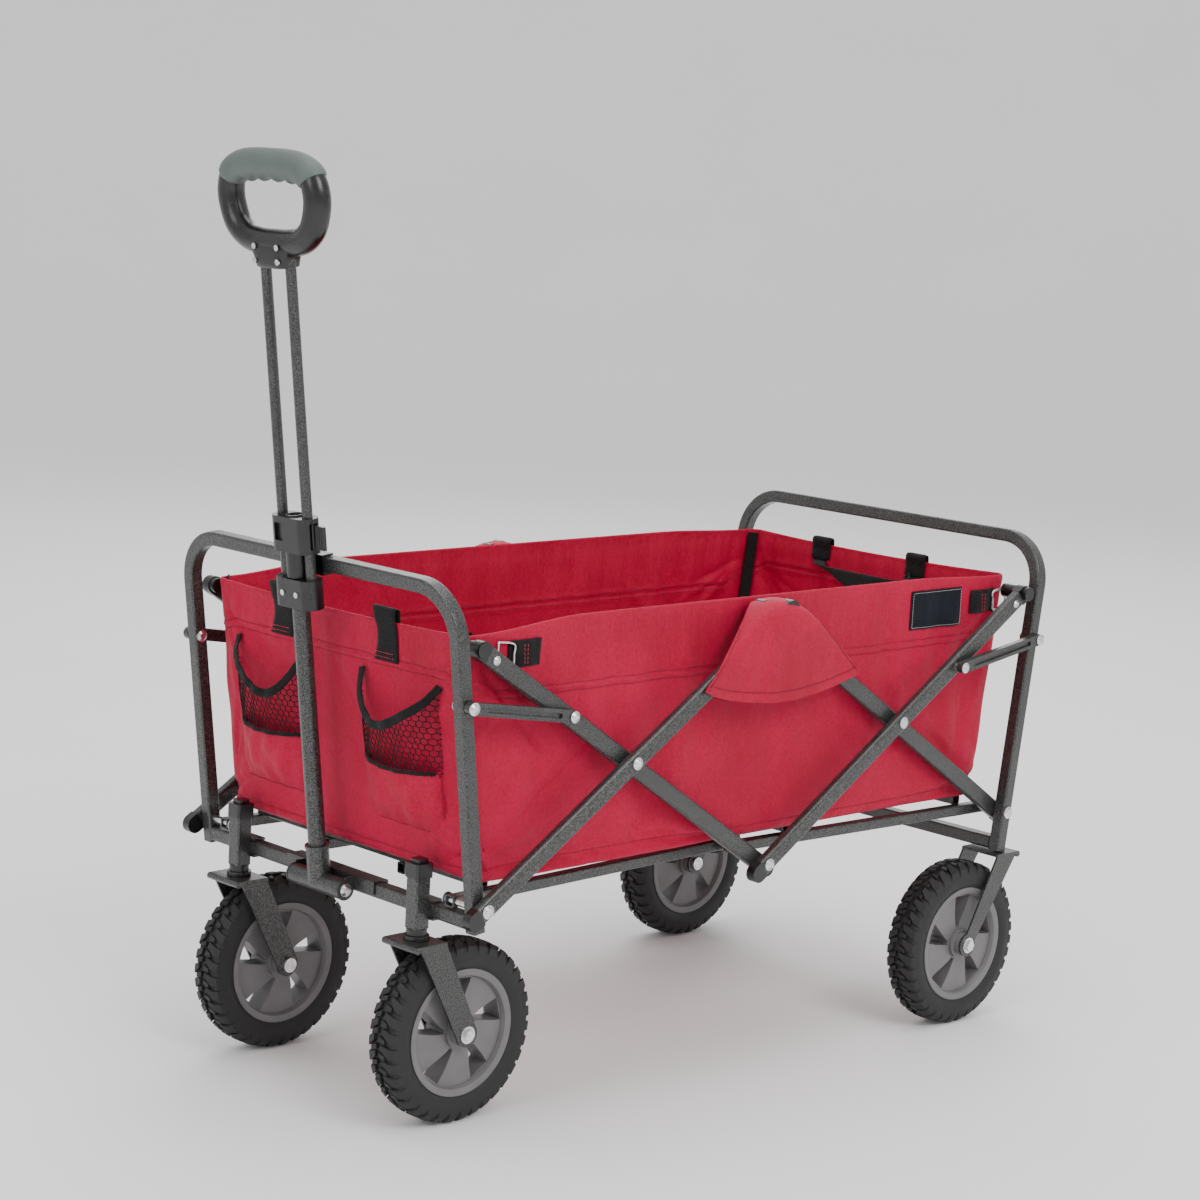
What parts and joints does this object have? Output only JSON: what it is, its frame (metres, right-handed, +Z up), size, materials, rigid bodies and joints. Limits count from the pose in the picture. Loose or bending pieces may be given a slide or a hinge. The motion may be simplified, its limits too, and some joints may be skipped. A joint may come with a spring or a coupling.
{
  "type": "folding wagon",
  "caption": "Folding fabric wagon with scissor side frames, swivelling front casters, fixed rear wheels and a telescopic pull handle.",
  "frame": {"origin": "middle of the wagon's length and width, on the ground under it", "axes": "+X forward, to the pull handle; +Y to the wagon's left; +Z up from the ground"},
  "size_m": [0.9726, 0.5058, 0.964],
  "materials": {
    "hammered_steel": "grey hammered powder coat",
    "rod_steel": "smooth dark grey paint",
    "zinc_steel": "zinc plated",
    "black_plastic": "semi-gloss moulded",
    "grip_rubber": "soft matt pad",
    "tyre_rubber": "moulded tread",
    "rim_plastic": "moulded, satin",
    "red_fabric": "woven polyester, sewn",
    "black_mesh": "open mesh with bound edge"
  },
  "bodies": {
    "front_frame": {"front_hoop": "hammered_steel", "front_cross_tube": "hammered_steel", "caster_housings": "hammered_steel", "swivel_bearings": "black_plastic", "housing_caps": "black_plastic", "handle_bracket": "hammered_steel", "front_frame_bolts": "zinc_steel", "handle_pivot_bolt": "zinc_steel", "rail_clip": "black_plastic", "bag_front_wall": "red_fabric", "bag_left_front": "red_fabric", "bag_right_front": "red_fabric", "cup_pockets": "black_mesh", "side_flaps": "red_fabric"},
    "front_lower_brace": {"front_lower_braces": "hammered_steel", "front_lower_brace_caps": "black_plastic", "front_lower_brace_rivets": "zinc_steel"},
    "front_upper_brace": {"front_upper_braces": "hammered_steel", "front_upper_brace_caps": "black_plastic", "front_upper_brace_rivets": "zinc_steel"},
    "rear_upper_brace": {"rear_upper_braces": "hammered_steel", "rear_upper_brace_caps": "black_plastic", "rear_upper_brace_rivets": "zinc_steel"},
    "rear_lower_brace": {"rear_lower_braces": "hammered_steel", "rear_lower_brace_caps": "black_plastic"},
    "rear_frame": {"rear_hoop": "hammered_steel", "rear_cross_tube": "hammered_steel", "rear_forks": "hammered_steel", "rear_frame_bolts": "zinc_steel", "rear_axles": "zinc_steel", "bag_rear_wall": "red_fabric", "bag_left_rear": "red_fabric", "bag_right_rear": "red_fabric"},
    "front_link": {"front_links": "hammered_steel", "front_link_rivets": "zinc_steel"},
    "rear_link": {"rear_links": "hammered_steel", "rear_link_rivets": "zinc_steel"},
    "front_floor": {"front_floor_frame": "hammered_steel", "floor_front": "red_fabric"},
    "rear_floor": {"rear_floor_frame": "hammered_steel", "floor_rear": "red_fabric"},
    "handle": {"pivot_sleeve": "hammered_steel", "lower_handle_tube": "hammered_steel", "handle_clamp": "black_plastic"},
    "lever": {"clamp_lever": "black_plastic"},
    "telescope": {"handle_rods": "rod_steel", "handle_collar": "black_plastic", "handle_grip": "black_plastic", "grip_pad": "grip_rubber", "handle_rivets": "zinc_steel"},
    "left_caster": {"left_caster_fork": "hammered_steel", "left_caster_axle": "zinc_steel"},
    "right_caster": {"right_caster_fork": "hammered_steel", "right_caster_axle": "zinc_steel"},
    "front_left_wheel": {"front_left_tyre": "tyre_rubber", "front_left_rim": "rim_plastic"},
    "front_right_wheel": {"front_right_tyre": "tyre_rubber", "front_right_rim": "rim_plastic"},
    "rear_left_wheel": {"rear_left_tyre": "tyre_rubber", "rear_left_rim": "rim_plastic"},
    "rear_right_wheel": {"rear_right_tyre": "tyre_rubber", "rear_right_rim": "rim_plastic"}
  },
  "joints": [
    {"name": "fold", "type": "hinge", "parent": "front_frame", "child": "front_lower_brace", "pos_m": [0.35971, 0, 0.243], "axis": [0, 1, 0], "range_deg": [0, 46], "deforming": ["bag_front_wall", "bag_rear_wall", "bag_left_front", "bag_left_rear", "bag_right_front", "bag_right_rear", "cup_pockets", "side_flaps", "floor_front", "floor_rear"]},
    {"name": "front_crossing", "type": "hinge", "parent": "front_lower_brace", "child": "front_upper_brace", "pos_m": [0.16598, 0, 0.36881], "axis": [0, 1, 0], "range_deg": [-92, 0]},
    {"name": "middle_pivot", "type": "hinge", "parent": "front_upper_brace", "child": "rear_upper_brace", "pos_m": [-0.0395, 0, 0.23538], "axis": [0, 1, 0], "range_deg": [0, 92]},
    {"name": "rear_crossing", "type": "hinge", "parent": "rear_upper_brace", "child": "rear_lower_brace", "pos_m": [-0.24497, 0, 0.36881], "axis": [0, 1, 0], "range_deg": [-92, 0]},
    {"name": "rear_pivot", "type": "hinge", "parent": "rear_lower_brace", "child": "rear_frame", "pos_m": [-0.43871, 0, 0.243], "axis": [0, 1, 0], "range_deg": [0, 46]},
    {"name": "front_link_pivot", "type": "hinge", "parent": "front_frame", "child": "front_link", "pos_m": [0.38517, 0, 0.446], "axis": [0, 1, 0], "range_deg": [0, 77.24]},
    {"name": "rear_link_pivot", "type": "hinge", "parent": "rear_frame", "child": "rear_link", "pos_m": [-0.46417, 0, 0.446], "axis": [0, 1, 0], "range_deg": [-77.24, 0]},
    {"name": "front_floor_hinge", "type": "hinge", "parent": "front_frame", "child": "front_floor", "pos_m": [0.35971, 0, 0.243], "axis": [0, 1, 0], "range_deg": [0, 76.85]},
    {"name": "rear_floor_hinge", "type": "hinge", "parent": "rear_frame", "child": "rear_floor", "pos_m": [-0.43871, 0, 0.243], "axis": [0, 1, 0], "range_deg": [-76.85, 0]},
    {"name": "handle_pivot", "type": "hinge", "parent": "front_frame", "child": "handle", "pos_m": [0.37992, 0, 0.22333], "axis": [0, 1, 0], "range_deg": [0, 90]},
    {"name": "handle_slide", "type": "slide", "parent": "handle", "child": "telescope", "axis": [0.1245, 0, 0.9922], "range_m": [-0.24, 0]},
    {"name": "lever_pivot", "type": "hinge", "parent": "handle", "child": "lever", "pos_m": [0.42485, 0.0282, 0.58152], "axis": [0.1245, 0, 0.9922], "range_deg": [0, 22], "stiffness_Nm_per_rad": 0.1},
    {"name": "left_caster_swivel", "type": "hinge", "parent": "front_frame", "child": "left_caster", "pos_m": [0.37251, 0.148, 0.2], "axis": [0, 0, 1], "continuous": true},
    {"name": "right_caster_swivel", "type": "hinge", "parent": "front_frame", "child": "right_caster", "pos_m": [0.37251, -0.148, 0.2], "axis": [0, 0, 1], "continuous": true},
    {"name": "front_left_wheel_spin", "type": "hinge", "parent": "left_caster", "child": "front_left_wheel", "pos_m": [0.32251, 0.148, 0.095], "axis": [0, 1, 0], "continuous": true},
    {"name": "rear_left_wheel_spin", "type": "hinge", "parent": "rear_frame", "child": "rear_left_wheel", "pos_m": [-0.37571, 0.221, 0.095], "axis": [0, 1, 0], "continuous": true},
    {"name": "front_right_wheel_spin", "type": "hinge", "parent": "right_caster", "child": "front_right_wheel", "pos_m": [0.32251, -0.148, 0.095], "axis": [0, 1, 0], "continuous": true},
    {"name": "rear_right_wheel_spin", "type": "hinge", "parent": "rear_frame", "child": "rear_right_wheel", "pos_m": [-0.37571, -0.221, 0.095], "axis": [0, 1, 0], "continuous": true}
  ],
  "couplings": [
    {"joint": "front_crossing", "follows": "fold", "ratio": -2},
    {"joint": "middle_pivot", "follows": "fold", "ratio": 2},
    {"joint": "rear_crossing", "follows": "fold", "ratio": -2},
    {"joint": "rear_pivot", "follows": "fold", "ratio": 1},
    {"joint": "front_link_pivot", "follows": "fold", "ratio": 1.6792},
    {"joint": "rear_link_pivot", "follows": "fold", "ratio": -1.6792},
    {"joint": "front_floor_hinge", "follows": "fold", "ratio": 1.6706},
    {"joint": "rear_floor_hinge", "follows": "fold", "ratio": -1.6706}
  ]
}
